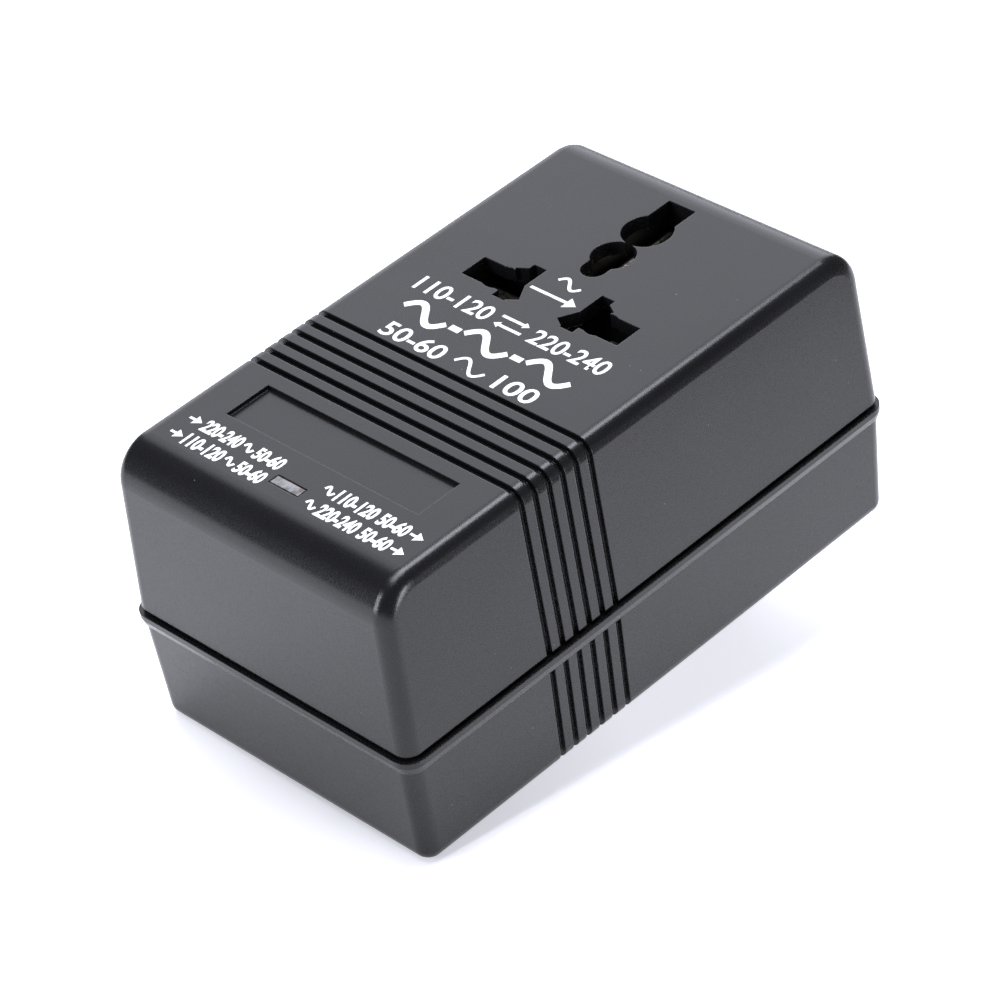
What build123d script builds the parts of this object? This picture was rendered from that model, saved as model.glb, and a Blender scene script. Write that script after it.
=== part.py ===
from build123d import *
import os

# A travel voltage converter: a two-part moulded housing with grooves round it, a universal socket
# on top, a transformer and a voltage selector inside, and a pair of flat plug blades below.
# X runs across it, Y along it towards the socket end, and Z up out of the socket face.
# The origin is under its middle, level with the tips of the blades. Sizes are in millimetres.

# Housing: the walls at the parting plane, and how they lean in towards the roof and the underside
case_width = 53.1
case_length = 91.8
upper_height = 26.5
lower_depth = 18.9
wall = 2.2
side_draft = 0.78
end_draft = 1.26
lower_draft = 0.65
corner_radius = 2.3
end_top_radius = 5.9
bottom_radius = 2.0
least_radius_share = 0.15

# Parting line: a shadow gap between the upper shell's rim and the lower shell's bead
shadow_gap = 0.7
bead_height = 2.1
bead_proud = 0.5
bead_slope_height = 1.2
bead_slope_share = 0.8
rabbet_depth = 1.1
rabbet_clearance = 0.1
tongue_height = 1.8

# Grooves round the housing
groove_count = 6
groove_pitch = 2.5
groove_width = 1.0
groove_depth = 0.8
groove_end_gap = 25.8
lower_groove_drop = 2.6

# Blank recess in the roof
recess_length = 36.2
recess_width = 7.5
recess_depth = 0.65
recess_groove_gap = 2.4

# Plug blades
blade_reach = 16.0
blade_width = 6.35
blade_thickness = 1.52
blade_pitch = 12.7
blade_end_gap = 12.6
blade_tip_radius = 1.7
blade_hole_radius = 1.6
blade_hole_height = 4.2
blade_lug_width = 9.4
blade_lug_height = 2.0
blade_tail_width = 3.2
blade_tail_height = 3.6
solder_hole_radius = 0.7
blade_clearance = 0.05

# Seat and retainer of the blades
seat_boss_gap = 0.5
seat_margin = 1.0
seat_height = 2.6
retainer_thickness = 3.6
retainer_screw_inset = 2.7

# Socket: places are taken from the middle of the line that the two current pins share
earth_end_gap = 7.75
british_offset = 11.0
british_width = 7.05
british_height = 4.5
european_offset = 9.5
european_radius = 2.5
american_offset = 6.35
american_rise = 0.65
american_width = 2.35
american_height = 8.25
australian_offset = 6.35
australian_rise = 0.3
australian_width = 2.25
australian_height = 7.2
australian_angle = 30
earth_block_width = 4.9
earth_block_low = 18.2
earth_block_high = 26.2
earth_large_radius = 3.7
earth_large_rise = 19.2
earth_small_radius = 3.2
earth_small_rise = 12.4
earth_slot_width = 3.9
earth_slot_low = 6.8

# Contact holder under the socket
pocket_depth = 19.6
pocket_margin = 0.5
pocket_inner_margin = 1.3
holder_wall = 1.7
holder_floor = 1.6
holder_ear_reach = 17.0
holder_ear_width = 7.0
holder_ear_thickness = 2.4
holder_ear_drop = 10.0
holder_boss_radius = 3.0
holder_boss_offset = 13.5
holder_boss_rise = 13.0

# Socket contacts: spring leaves folded up from one strip
strip_thickness = 0.6
strip_bend = 0.9
leaf_mouth_depth = 5.2
leaf_grip_depth = 11.0
leaf_mouth_gap = 6.0
leaf_grip_gap = 3.1
leaf_root_gap = 6.0
leaf_start = 7.9
leaf_end_gap = 0.75
side_leaf_offset = 3.9
side_leaf_lean = 1.0
side_leaf_width = 4.4
earth_leaf_start_gap = 3.3
earth_leaf_end_gap = 0.7
tab_width = 3.0
tab_length = 2.5
tab_clearance = 0.05

# Transformer: the core fills the room between the walls, the front screw bosses and the holder
core_side_gap = 3.5
core_front_gap = 0.4
core_back_gap = 6.8
coil_roof_gap = 6.1
coil_side_gap = 0.4
middle_leg_share = 1 / 3
side_leg_share = 1 / 6
end_leg_share = 1 / 5
bobbin_clearance = 0.3
bobbin_wall = 1.1
bobbin_end_clearance = 0.1
flange_thickness = 1.0
inner_winding_share = 0.48
tape_build = 0.3
tape_edge = 0.2
flange_lip = 0.3
winding_corner = 1.6
coil_clearance = 0.5
pin_size = 0.9
pin_length = 4.4
pin_spacing = 3.0
pin_edge_gap = 3.1
pin_drop = 2.1
fuse_radius = 1.6
fuse_length = 9.0
fuse_shoulder = 0.9
fuse_wire_radius = 0.4
fuse_wire_length = 1.5
core_boss_radius = 3.3

# Voltage selector
selector_gap = 3.0
selector_length = 18.0
selector_width = 9.0
selector_height = 5.8
selector_floor = 1.0
selector_ear_reach = 2.8
selector_flange_thickness = 1.4
selector_post_height = 3.0
selector_post_radius = 2.6
selector_post_gap = 0.4
selector_base_thickness = 1.6
knob_length = 4.4
knob_width = 5.0
knob_recess = 0.5
knob_slot_width = 1.0
knob_slot_depth = 0.9
slider_travel = 4.0
slider_clearance = 0.15
carriage_length = 8.2
carriage_width = 6.4
carriage_height = 2.6
terminal_width = 1.4
terminal_thickness = 0.7
terminal_spacing = 4.0
terminal_offset = 1.9
terminal_inside = 0.7
terminal_outside = 2.4
bridge_length = 5.4
bridge_width = 1.1
bridge_height = 1.2
bridge_foot = 1.2

# Indicator
led_length = 5.2
led_width = 1.4
led_height = 7.0
led_gap = 0.2
led_end_gap = 9.7
led_collar = 0.35
led_collar_height = 1.0
led_pin_size = 0.5
led_pin_spacing = 2.54
led_pin_length = 3.0
board_length = 18.0
board_width = 9.0
board_thickness = 1.6
board_hole_clearance = 0.1
post_radius = 2.2
post_inset = 2.3
resistor_radius = 1.15
resistor_length = 6.2
resistor_wire_radius = 0.3
resistor_wire_reach = 4.6
resistor_wire_bend = 0.6
resistor_end_gap = 6.9

# Screws
housing_head_radius = 2.5
housing_head_height = 1.8
housing_shank_radius = 1.3
housing_screw_length = 19.0
housing_boss_radius = 3.9
housing_boss_overlap = 0.3
counterbore_clearance = 0.3
counterbore_depth = 9.0
through_clearance = 0.3
pilot_clearance = 0.03
pilot_overlength = 1.0
core_head_radius = 2.8
core_head_height = 2.0
core_shank_radius = 1.5
core_screw_grip = 5.6
small_head_radius = 1.8
small_head_height = 1.2
small_shank_radius = 0.9
holder_screw_length = 8.0
retainer_screw_length = 6.8
selector_screw_length = 5.0
indicator_screw_length = 4.8
recess_length_share = 1.2
recess_width_share = 0.28
recess_depth_share = 0.55

# Insulated leads inside the housing
lead_radius = 0.8
lead_bend = 1.5
lead_low_share = 0.3
lead_high_share = 0.6
lead_roof_gap = 2.4
indicator_lead_radius = 0.5
indicator_lead_inset = 1.6

# One overrun serves all cuts
overrun = 1.0

# Levels and places that follow from the sizes above
underside_z = blade_reach
floor_z = underside_z + wall
parting_z = underside_z + lower_depth
top_z = parting_z + upper_height
roof_z = top_z - wall
upper_rim_z = parting_z + shadow_gap / 2
lower_rim_z = parting_z - shadow_gap / 2
tongue_top_z = parting_z + tongue_height

plug_y = case_length / 2 - blade_end_gap
seat_top_z = floor_z + seat_height
lug_top_z = seat_top_z + blade_lug_height
retainer_top_z = seat_top_z + retainer_thickness
tail_top_z = retainer_top_z + blade_tail_height

housing_boss_x = case_width / 2 - wall - housing_boss_radius + housing_boss_overlap
housing_boss_y = case_length / 2 - wall - housing_boss_radius + housing_boss_overlap
screw_seat_z = underside_z + counterbore_depth

seat_length = 2 * (housing_boss_x - housing_boss_radius - seat_boss_gap)
seat_width = blade_lug_width + 2 * seat_margin
retainer_screw_x = seat_length / 2 - retainer_screw_inset

groove_first_y = -case_length / 2 + groove_end_gap
recess_y = groove_first_y - recess_groove_gap - (groove_width + recess_width) / 2

socket_y = case_length / 2 - earth_end_gap - earth_block_high
pocket_z = top_z - pocket_depth
pin_box_low = american_rise - american_height / 2
pin_box_high = american_rise + american_height / 2
pocket_inner_x = side_leaf_offset - pocket_inner_margin
pocket_outer_x = british_offset + british_width / 2 + pocket_margin
earth_pocket_low = earth_slot_low - pocket_margin
earth_pocket_high = earth_block_high + pocket_margin
holder_low_z = pocket_z - holder_floor
holder_front_y = socket_y + pin_box_low - pocket_margin - holder_wall
ear_top_z = roof_z - holder_ear_drop
ear_low_z = ear_top_z - holder_ear_thickness
holder_boss_y = socket_y + holder_boss_rise
leaf_end = pocket_outer_x - leaf_end_gap
earth_leaf_low = earth_pocket_low + earth_leaf_start_gap
earth_leaf_high = earth_pocket_high - earth_leaf_end_gap
earth_tab_y = socket_y + (earth_leaf_low + earth_leaf_high) / 2
tab_low_z = holder_low_z - tab_length
tab_x = (leaf_start + leaf_end) / 2

core_width = case_width - 2 * wall - 2 * core_side_gap
middle_leg = core_width * middle_leg_share
side_leg = core_width * side_leg_share
core_front_y = -housing_boss_y + housing_boss_radius + core_front_gap
core_back_y = holder_front_y - core_back_gap
core_length = core_back_y - core_front_y
core_y = (core_front_y + core_back_y) / 2
end_leg = core_length * end_leg_share
window_width = (core_width - middle_leg) / 2 - side_leg
window_length = core_length - 2 * end_leg
tube_build = bobbin_clearance + bobbin_wall
coil_build = window_width - coil_side_gap - flange_lip
winding_build = coil_build - tape_build - tube_build
flange_half_width = middle_leg / 2 + coil_build + flange_lip
bobbin_length = window_length - 2 * bobbin_end_clearance
coil_low_z = floor_z + coil_clearance + flange_lip
coil_top_z = roof_z - coil_roof_gap - flange_lip
core_low_z = coil_low_z + coil_build
core_top_z = coil_top_z - coil_build
core_z = (core_low_z + core_top_z) / 2
stack_height = core_top_z - core_low_z
flange_half_height = stack_height / 2 + coil_build + flange_lip
core_screw_x = (core_width - side_leg) / 2
core_screw_y = (core_length - end_leg) / 2
pin_top_z = core_z + flange_half_height - pin_drop
pin_low_z = pin_top_z - pin_size
pin_root_y = core_y + bobbin_length / 2
pin_lead_y = pin_root_y + pin_length - lead_radius
outer_pin_x = flange_half_width - pin_edge_gap
inner_pin_x = outer_pin_x - 2 * pin_spacing

selector_y = core_back_y + selector_gap + selector_width / 2
selector_floor_z = floor_z + selector_floor
selector_top_z = floor_z + selector_height
selector_base_z = selector_top_z + selector_base_thickness
selector_post_x = selector_length / 2 + selector_post_gap + selector_post_radius
terminal_low_z = selector_top_z - terminal_inside
terminal_top_z = selector_base_z + terminal_outside
carriage_low_z = selector_floor_z + slider_clearance
carriage_top_z = carriage_low_z + carriage_height
slider_x = -slider_travel / 2
window_x_size = knob_length + slider_travel + 2 * slider_clearance
window_y_size = knob_width + 2 * slider_clearance
post_top_z = floor_z + selector_post_height
selector_flange_z = post_top_z + selector_flange_thickness

led_y = -case_length / 2 + led_end_gap
board_top_z = top_z - led_height
board_low_z = board_top_z - board_thickness
board_screw_x = board_length / 2 - post_inset
resistor_y = -case_length / 2 + resistor_end_gap

channel_y = (core_back_y + holder_front_y) / 2
lead_room = tab_low_z - terminal_top_z
lead_low_z = terminal_top_z + lead_room * lead_low_share
lead_high_z = terminal_top_z + lead_room * lead_high_share
lead_roof_z = roof_z - lead_roof_gap


def save(shape, node):
    """Write one named piece."""
    export_step(shape, f"parts/{node}.step")


def block(x_size, y_size, low, high, x=0, y=0):
    """A block between two levels, centred at x, y."""
    return Pos(x, y, (low + high) / 2) * Box(x_size, y_size, high - low)


def rod(radius, low, high, x=0, y=0):
    """An upright cylinder between two levels."""
    return Pos(x, y, (low + high) / 2) * Cylinder(radius, high - low)


def inset_radius(radius, inset):
    """The radius of a rounded edge on a wall's inner side, never less than a small share of it."""
    return max(radius - inset, least_radius_share * radius)


def trapezoid(half_low, low, half_high, high):
    """A symmetric outline from one level to another."""
    corners = [(-half_low, low), (half_low, low), (half_high, high), (-half_high, high)]
    return Polygon(*corners, align=None)


def crossed_prisms(profile, section):
    """What a side outline and an end outline have in common when both are drawn through."""
    lengthwise = extrude(Plane.YZ * profile, case_width, both=True)
    crosswise = extrude(Plane.XZ * section, case_length, both=True)
    return lengthwise & crosswise


def upper_section(inset):
    """The end outline of the upper housing, without its rounded edges."""
    high = top_z - inset
    lean_share = (high - parting_z) / upper_height
    half_width = case_width / 2 - inset
    return trapezoid(half_width, parting_z, half_width - side_draft * lean_share, high)


def lower_outline(half_size, inset, high):
    """A leaning outline of the lower housing, from its underside or floor to a level."""
    low = underside_z + inset
    low_lean = lower_draft * (parting_z - low) / lower_depth
    high_lean = lower_draft * (parting_z - high) / lower_depth
    return trapezoid(half_size - inset - low_lean, low, half_size - inset - high_lean, high)


def lower_section(inset, high=parting_z):
    """The end outline of the lower housing, without its rounded edges."""
    return lower_outline(case_width / 2, inset, high)


def upper_form(inset):
    """The upper housing's outside, or the space inside it when inset by the wall."""
    high = top_z - inset
    lean_share = (high - parting_z) / upper_height
    half_length = case_length / 2 - inset
    profile = trapezoid(half_length, parting_z, half_length - end_draft * lean_share, high)
    profile = fillet(profile.vertices().sort_by(Axis.Y)[-2:], inset_radius(end_top_radius, inset))
    solid = crossed_prisms(profile, upper_section(inset))
    faces = solid.faces().sort_by(Axis.X)
    edges = faces[0].edges().sort_by(Axis.Z)[1:] + faces[-1].edges().sort_by(Axis.Z)[1:]
    return fillet(edges, inset_radius(corner_radius, inset))


def lower_form(inset, high=parting_z):
    """The lower housing's outside, or the space inside it when inset by the wall."""
    profile = lower_outline(case_length / 2, inset, high)
    solid = crossed_prisms(profile, lower_section(inset, high))
    solid = fillet(solid.edges().group_by(Axis.Z)[1], inset_radius(corner_radius, inset))
    return fillet(solid.faces().sort_by(Axis.Z)[0].edges(), inset_radius(bottom_radius, inset))


def plan(grow, low, high):
    """An upright block on the parting outline, grown or shrunk all round."""
    radius = inset_radius(corner_radius, -grow)
    outline = RectangleRounded(case_width + 2 * grow, case_length + 2 * grow, radius)
    return extrude(Pos(0, 0, low) * outline, high - low)


def groove_places():
    """Where the grooves cross the housing's length."""
    return [groove_first_y + index * groove_pitch for index in range(groove_count)]


def groove_ring(core, low, high):
    """The cutter of one groove: a slab with the housing's section, less the groove's depth, left out."""
    slab = Pos(0, (low + high) / 2) * Rectangle(2 * case_width, high - low)
    return extrude(Plane.XZ * (slab - core), groove_width / 2, both=True)


def upper_groove():
    """The cutter of a groove over the roof and down both sides."""
    core = upper_section(groove_depth)
    radius = inset_radius(corner_radius, groove_depth)
    core = fillet(core.vertices().sort_by(Axis.Y)[-2:], radius)
    return groove_ring(core, parting_z, top_z + overrun)


def lower_groove():
    """The cutter of a groove down both sides and under the floor."""
    core = lower_section(groove_depth)
    radius = inset_radius(bottom_radius, groove_depth)
    core = fillet(core.vertices().sort_by(Axis.Y)[:2], radius)
    return groove_ring(core, underside_z - overrun, parting_z - lower_groove_drop)


def pair(x, y):
    """Two places, left and right."""
    return [(-x, y), (x, y)]


def four(x, y):
    """Four places round the middle."""
    return pair(x, -y) + pair(x, y)


def corner_places():
    """Where the housing screws stand."""
    return four(housing_boss_x, housing_boss_y)


def core_places():
    """Where the core screws stand."""
    return [(x, core_y + y) for x, y in four(core_screw_x, core_screw_y)]


def holder_places():
    """Where the contact holder is screwed to its bosses."""
    return pair(holder_boss_offset, holder_boss_y)


def board_places():
    """Where the indicator board is screwed to its posts."""
    return pair(board_screw_x, led_y)


def selector_places():
    """Where the selector is screwed to its posts."""
    return pair(selector_post_x, selector_y)


def retainer_places():
    """Where the blades' retainer is screwed to their seat."""
    return pair(retainer_screw_x, plug_y)


def line_opening(side):
    """One current opening, which four kinds of pin share."""
    british = Pos(side * british_offset, 0) * Rectangle(british_width, british_height)
    european = Pos(side * european_offset, 0) * Circle(european_radius)
    american = Pos(side * american_offset, american_rise) * Rectangle(american_width, american_height)
    australian = Rot(0, 0, -side * australian_angle) * Rectangle(australian_width, australian_height)
    return british + european + american + Pos(side * australian_offset, australian_rise) * australian


def earth_opening():
    """The earth opening: a block over two joined circles and a round-ended slot."""
    block_height = earth_block_high - earth_block_low
    tall = Pos(0, earth_block_low + block_height / 2) * Rectangle(earth_block_width, block_height)
    large = Pos(0, earth_large_rise) * Circle(earth_large_radius)
    small = Pos(0, earth_small_rise) * Circle(earth_small_radius)
    end_rise = earth_slot_low + earth_slot_width / 2
    slot_height = earth_small_rise - end_rise
    slot = Pos(0, end_rise + slot_height / 2) * Rectangle(earth_slot_width, slot_height)
    end = Pos(0, end_rise) * Circle(earth_slot_width / 2)
    return tall + large + small + slot + end


def socket_cut():
    """The three socket openings through the roof."""
    outline = line_opening(-1) + line_opening(1) + earth_opening()
    return extrude(Pos(0, socket_y, roof_z - overrun) * outline, wall + 2 * overrun)


def corner_bosses(low, high):
    """Bosses for the housing screws, each filled out into its corner of the housing."""
    x_size = case_width / 2 - housing_boss_x
    y_size = case_length / 2 - housing_boss_y
    filled = four(housing_boss_x + x_size / 2, housing_boss_y + y_size / 2)
    bosses = [rod(housing_boss_radius, low, high, x, y) for x, y in corner_places()]
    return bosses + [block(x_size, y_size, low, high, x, y) for x, y in filled]


def upper_supports():
    """Bosses for the housing screws and the contact holder, and posts for the indicator board."""
    bosses = corner_bosses(parting_z, top_z)
    bosses += [rod(holder_boss_radius, ear_top_z, top_z, x, y) for x, y in holder_places()]
    return bosses + [rod(post_radius, board_top_z, top_z, x, y) for x, y in board_places()]


def upper_pilots():
    """Pilot holes in the upper shell's bosses and posts."""
    housing_top = screw_seat_z + housing_screw_length + pilot_overlength
    holder_top = ear_low_z + holder_screw_length + pilot_overlength
    board_top = board_low_z + indicator_screw_length
    housing_radius = housing_shank_radius + pilot_clearance
    small_radius = small_shank_radius + pilot_clearance
    holes = [rod(housing_radius, parting_z - overrun, housing_top, x, y) for x, y in corner_places()]
    holes += [rod(small_radius, ear_low_z, holder_top, x, y) for x, y in holder_places()]
    return holes + [rod(small_radius, board_low_z, board_top, x, y) for x, y in board_places()]


def upper_shell():
    """The upper half: roof, walls, socket openings, grooves, recess and indicator slot."""
    shell = upper_form(0) - plan(2 * overrun, parting_z - overrun, upper_rim_z)
    shell -= upper_form(wall) - upper_supports()
    rabbet = plan(-rabbet_depth, parting_z, tongue_top_z)
    shell -= rabbet - plan(-wall - rabbet_clearance, parting_z, tongue_top_z)
    shell -= [Pos(0, y, 0) * upper_groove() for y in groove_places()]
    shell -= block(recess_length, recess_width, top_z - recess_depth, top_z + overrun, 0, recess_y)
    shell -= socket_cut()
    slot_length = led_length + 2 * led_gap
    slot_width = led_width + 2 * led_gap
    shell -= block(slot_length, slot_width, roof_z - overrun, top_z + overrun, 0, led_y)
    return shell - upper_pilots()


def lower_supports():
    """Bosses for the housing, core and selector screws, and the seat of the blades."""
    bosses = corner_bosses(underside_z, parting_z)
    bosses += [rod(core_boss_radius, underside_z, core_low_z, x, y) for x, y in core_places()]
    bosses += [rod(selector_post_radius, underside_z, post_top_z, x, y) for x, y in selector_places()]
    return bosses + [block(seat_length, seat_width, underside_z, seat_top_z, 0, plug_y)]


def lower_pilots():
    """Pilot holes in the lower shell's bosses, posts and seat."""
    core_low = core_low_z - core_screw_grip - pilot_overlength
    core_radius = core_shank_radius + pilot_clearance
    small_radius = small_shank_radius + pilot_clearance
    selector_low = selector_flange_z - selector_screw_length
    retainer_low = retainer_top_z - retainer_screw_length
    holes = [rod(core_radius, core_low, core_low_z + overrun, x, y) for x, y in core_places()]
    holes += [rod(small_radius, selector_low, post_top_z + overrun, x, y) for x, y in selector_places()]
    holes += [rod(small_radius, retainer_low, seat_top_z + overrun, x, y) for x, y in retainer_places()]
    return holes


def counterbores():
    """The deep holes in the underside that take the housing screws."""
    wide = housing_head_radius + counterbore_clearance
    narrow = housing_shank_radius + through_clearance
    holes = [rod(wide, underside_z - overrun, screw_seat_z, x, y) for x, y in corner_places()]
    holes += [rod(narrow, screw_seat_z, parting_z + overrun, x, y) for x, y in corner_places()]
    return holes


def blade_slots():
    """Slots that the blades fill, through the floor and their seat."""
    x_size = blade_thickness + 2 * blade_clearance
    y_size = blade_width + 2 * blade_clearance
    return [
        block(x_size, y_size, underside_z - overrun, seat_top_z + overrun, x, y)
        for x, y in pair(blade_pitch / 2, plug_y)
    ]


def bead():
    """The band round the lower shell's rim, sloped off below."""
    band = plan(bead_proud, lower_rim_z - bead_height, lower_rim_z)
    foot = band.faces().sort_by(Axis.Z)[0]
    slope_width = bead_proud * bead_slope_share
    return chamfer(foot.edges(), slope_width, bead_slope_height, reference=foot)


def lower_shell():
    """The lower half: floor, walls, bead, tongue, grooves, blade slots and selector window."""
    shell = lower_form(0) - plan(2 * overrun, lower_rim_z, parting_z + overrun)
    shell += bead()
    shell += plan(-rabbet_depth - rabbet_clearance, lower_rim_z - overrun, tongue_top_z)
    shell -= lower_form(wall, tongue_top_z + overrun) - lower_supports()
    shell -= [Pos(0, y, 0) * lower_groove() for y in groove_places()]
    shell -= counterbores()
    shell -= lower_pilots()
    shell -= blade_slots()
    window = block(window_x_size, window_y_size, underside_z - overrun, floor_z + overrun)
    return shell - Pos(0, selector_y, 0) * window


def screw(head_radius, head_height, shank_radius, length):
    """A pan-head screw that points up, with its head's seat at zero and a cross recess below."""
    body = rod(head_radius, -head_height, 0) + rod(shank_radius, 0, length)
    depth = head_height * recess_depth_share
    long_side = head_radius * recess_length_share
    short_side = head_radius * recess_width_share
    body -= block(long_side, short_side, -head_height - overrun, -head_height + depth)
    return body - block(short_side, long_side, -head_height - overrun, -head_height + depth)


def screws_up(model, places, seat):
    """Copies of a screw whose heads bear upwards at one level."""
    return Compound([Pos(x, y, seat) * model for x, y in places])


def screws_down(model, places, seat):
    """Copies of a screw whose heads bear downwards at one level."""
    return Compound([Pos(x, y, seat) * Rot(180, 0, 0) * model for x, y in places])


def small_screw(length):
    """A small pan-head screw."""
    return screw(small_head_radius, small_head_height, small_shank_radius, length)


def blade():
    """A plug blade with a hole near its tip, lugs that bear on the seat and a solder tail."""
    body = Pos(0, seat_top_z / 2) * Rectangle(blade_width, seat_top_z)
    body = fillet(body.vertices().sort_by(Axis.Y)[:2], blade_tip_radius)
    lug = Pos(0, (seat_top_z + lug_top_z) / 2) * Rectangle(blade_lug_width, blade_lug_height)
    tail = Pos(0, (lug_top_z + tail_top_z) / 2) * Rectangle(blade_tail_width, tail_top_z - lug_top_z)
    outline = body + lug + tail
    outline -= Pos(0, blade_hole_height) * Circle(blade_hole_radius)
    outline -= Pos(0, tail_top_z - blade_tail_height / 2) * Circle(solder_hole_radius)
    return extrude(Plane.YZ * outline, blade_thickness / 2, both=True)


def blade_retainer():
    """The plate screwed down over the blades' lugs."""
    plate = block(seat_length, seat_width, seat_top_z, retainer_top_z, 0, plug_y)
    x_size = blade_thickness + 2 * blade_clearance
    lug_size = blade_lug_width + 2 * blade_clearance
    tail_size = blade_tail_width + 2 * blade_clearance
    for x, y in pair(blade_pitch / 2, plug_y):
        plate -= block(x_size, lug_size, seat_top_z - overrun, lug_top_z, x, y)
        plate -= block(x_size, tail_size, lug_top_z, retainer_top_z + overrun, x, y)
    for x, y in retainer_places():
        radius = small_shank_radius + pilot_clearance
        plate -= rod(radius, seat_top_z - overrun, retainer_top_z + overrun, x, y)
    return plate


def holder_blocks(grow, low, high):
    """Three blocks round the socket openings, grown by a wall or cut as pockets."""
    line_length = pocket_outer_x - pocket_inner_x + 2 * grow
    line_width = pin_box_high - pin_box_low + 2 * (pocket_margin + grow)
    line_x = (pocket_inner_x + pocket_outer_x) / 2
    line_y = socket_y + american_rise
    earth_width = 2 * (earth_large_radius + pocket_margin + grow)
    earth_length = earth_pocket_high - earth_pocket_low + 2 * grow
    earth_y = socket_y + (earth_pocket_low + earth_pocket_high) / 2
    blocks = [block(line_length, line_width, low, high, x, y) for x, y in pair(line_x, line_y)]
    return blocks + [block(earth_width, earth_length, low, high, 0, earth_y)]


def contact_holder():
    """The moulded carrier of the contacts: three pockets, two ears and slots for the tabs."""
    body = Part() + holder_blocks(holder_wall, holder_low_z, roof_z)
    body += block(2 * holder_ear_reach, holder_ear_width, ear_low_z, ear_top_z, 0, holder_boss_y)
    body = body & upper_form(wall)
    body -= holder_blocks(0, pocket_z, roof_z + overrun)
    slot_x = tab_width + 2 * tab_clearance
    slot_y = strip_thickness + 2 * tab_clearance
    slot_low = holder_low_z - overrun
    slot_high = pocket_z + overrun
    for side in (-1, 1):
        body -= block(slot_x, slot_y, slot_low, slot_high, side * tab_x, socket_y)
    body -= block(slot_y, slot_x, slot_low, slot_high, 0, earth_tab_y)
    for x, y in holder_places():
        radius = small_shank_radius + through_clearance
        body -= rod(radius, ear_low_z - overrun, ear_top_z + overrun, x, y)
    return body


def strip(points):
    """The outline of a bent metal strip whose left side follows the points."""
    path = FilletPolyline(*points, radius=strip_bend)
    return make_face(offset(path, strip_thickness, side=Side.LEFT))


def spring_outline():
    """A spring channel seen from its end: two leaves that close to a grip and open at the mouth."""
    mouth_z = top_z - leaf_mouth_depth
    grip_z = top_z - leaf_grip_depth
    left = [
        (-leaf_mouth_gap / 2, mouth_z),
        (-leaf_grip_gap / 2, grip_z),
        (-leaf_root_gap / 2, pocket_z + leaf_root_gap / 2),
        (-leaf_root_gap / 2, pocket_z + strip_thickness),
    ]
    right = [(-x, z) for x, z in reversed(left)]
    path = FilletPolyline(*left, *right, radius=strip_bend)
    return make_face(offset(path, -strip_thickness, side=Side.LEFT))


def line_contact(side):
    """A current contact: a spring channel across the pins, a side leaf and a solder tab."""
    channel = extrude(Plane.YZ * spring_outline(), (leaf_end - leaf_start) / 2, both=True)
    contact = Pos(side * tab_x, socket_y, 0) * channel
    root = leaf_start + strip_thickness
    mouth_z = top_z - leaf_mouth_depth
    grip_z = top_z - leaf_grip_depth
    points = [
        (side_leaf_offset, mouth_z),
        (side_leaf_offset + side_leaf_lean, grip_z),
        (side_leaf_offset, pocket_z + leaf_root_gap / 2),
        (side_leaf_offset, pocket_z),
        (root, pocket_z),
    ]
    leaf = extrude(Plane.XZ * strip(points), side_leaf_width / 2, both=True)
    if side < 0:
        leaf = mirror(leaf, Plane.YZ)
    contact += Pos(0, socket_y, 0) * leaf
    tab_high = pocket_z + strip_thickness
    return contact + block(tab_width, strip_thickness, tab_low_z, tab_high, side * tab_x, socket_y)


def earth_contact():
    """The earth contact: one long spring channel and a solder tab."""
    half_length = (earth_leaf_high - earth_leaf_low) / 2
    contact = Pos(0, earth_tab_y, 0) * extrude(Plane.XZ * spring_outline(), half_length, both=True)
    tab_high = pocket_z + strip_thickness
    return contact + block(strip_thickness, tab_width, tab_low_z, tab_high, 0, earth_tab_y)


def core_holes():
    """Holes through the corners of the laminations."""
    radius = core_shank_radius + through_clearance
    return [rod(radius, core_low_z - overrun, core_top_z + overrun, x, y) for x, y in core_places()]


def core_e_stack():
    """The three-legged laminations, whose legs point to the front."""
    leg_length = core_length - end_leg
    y = core_back_y - leg_length / 2
    stack = block(core_width, leg_length, core_low_z, core_top_z, 0, y)
    for x, y in pair((middle_leg + window_width) / 2, core_y):
        stack -= block(window_width, window_length, core_low_z, core_top_z, x, y)
    return stack - core_holes()


def core_i_stack():
    """The straight laminations that close the core at the front."""
    bar = block(core_width, end_leg, core_low_z, core_top_z, 0, core_front_y + end_leg / 2)
    return bar - core_holes()


def coil_outline(build, corner):
    """A section round the middle leg, built out by so much."""
    return RectangleRounded(middle_leg + 2 * build, stack_height + 2 * build, corner)


def coil_ring(inner_build, outer_build, length):
    """A layer round the middle leg, between two builds."""
    outer_corner = inset_radius(winding_corner, inner_build - outer_build)
    ring = coil_outline(outer_build, outer_corner) - coil_outline(inner_build, winding_corner)
    return Pos(0, core_y, core_z) * extrude(Plane.XZ * ring, length / 2, both=True)


def bobbin():
    """The coil former: a square tube with a flange at each end."""
    hole = Rectangle(middle_leg + 2 * bobbin_clearance, stack_height + 2 * bobbin_clearance)
    tube = coil_outline(tube_build, winding_corner) - hole
    flange = Rectangle(2 * flange_half_width, 2 * flange_half_height) - hole
    body = extrude(Plane.XZ * tube, bobbin_length / 2, both=True)
    for side in (-1, 1):
        y = side * (bobbin_length - flange_thickness) / 2
        body += Pos(0, y, 0) * extrude(Plane.XZ * flange, flange_thickness / 2, both=True)
    return Pos(0, core_y, core_z) * body


def winding_layers():
    """The two windings and the tape round them, each with the builds that it lies between."""
    middle = tube_build + winding_build * inner_winding_share
    outside = tube_build + winding_build
    length = bobbin_length - 2 * flange_thickness
    return {
        "inner_winding": coil_ring(tube_build, middle, length - 2 * tape_edge),
        "outer_winding": coil_ring(middle, outside, length - 2 * tape_edge),
        "winding_tape": coil_ring(outside, coil_build, length),
    }


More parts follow.
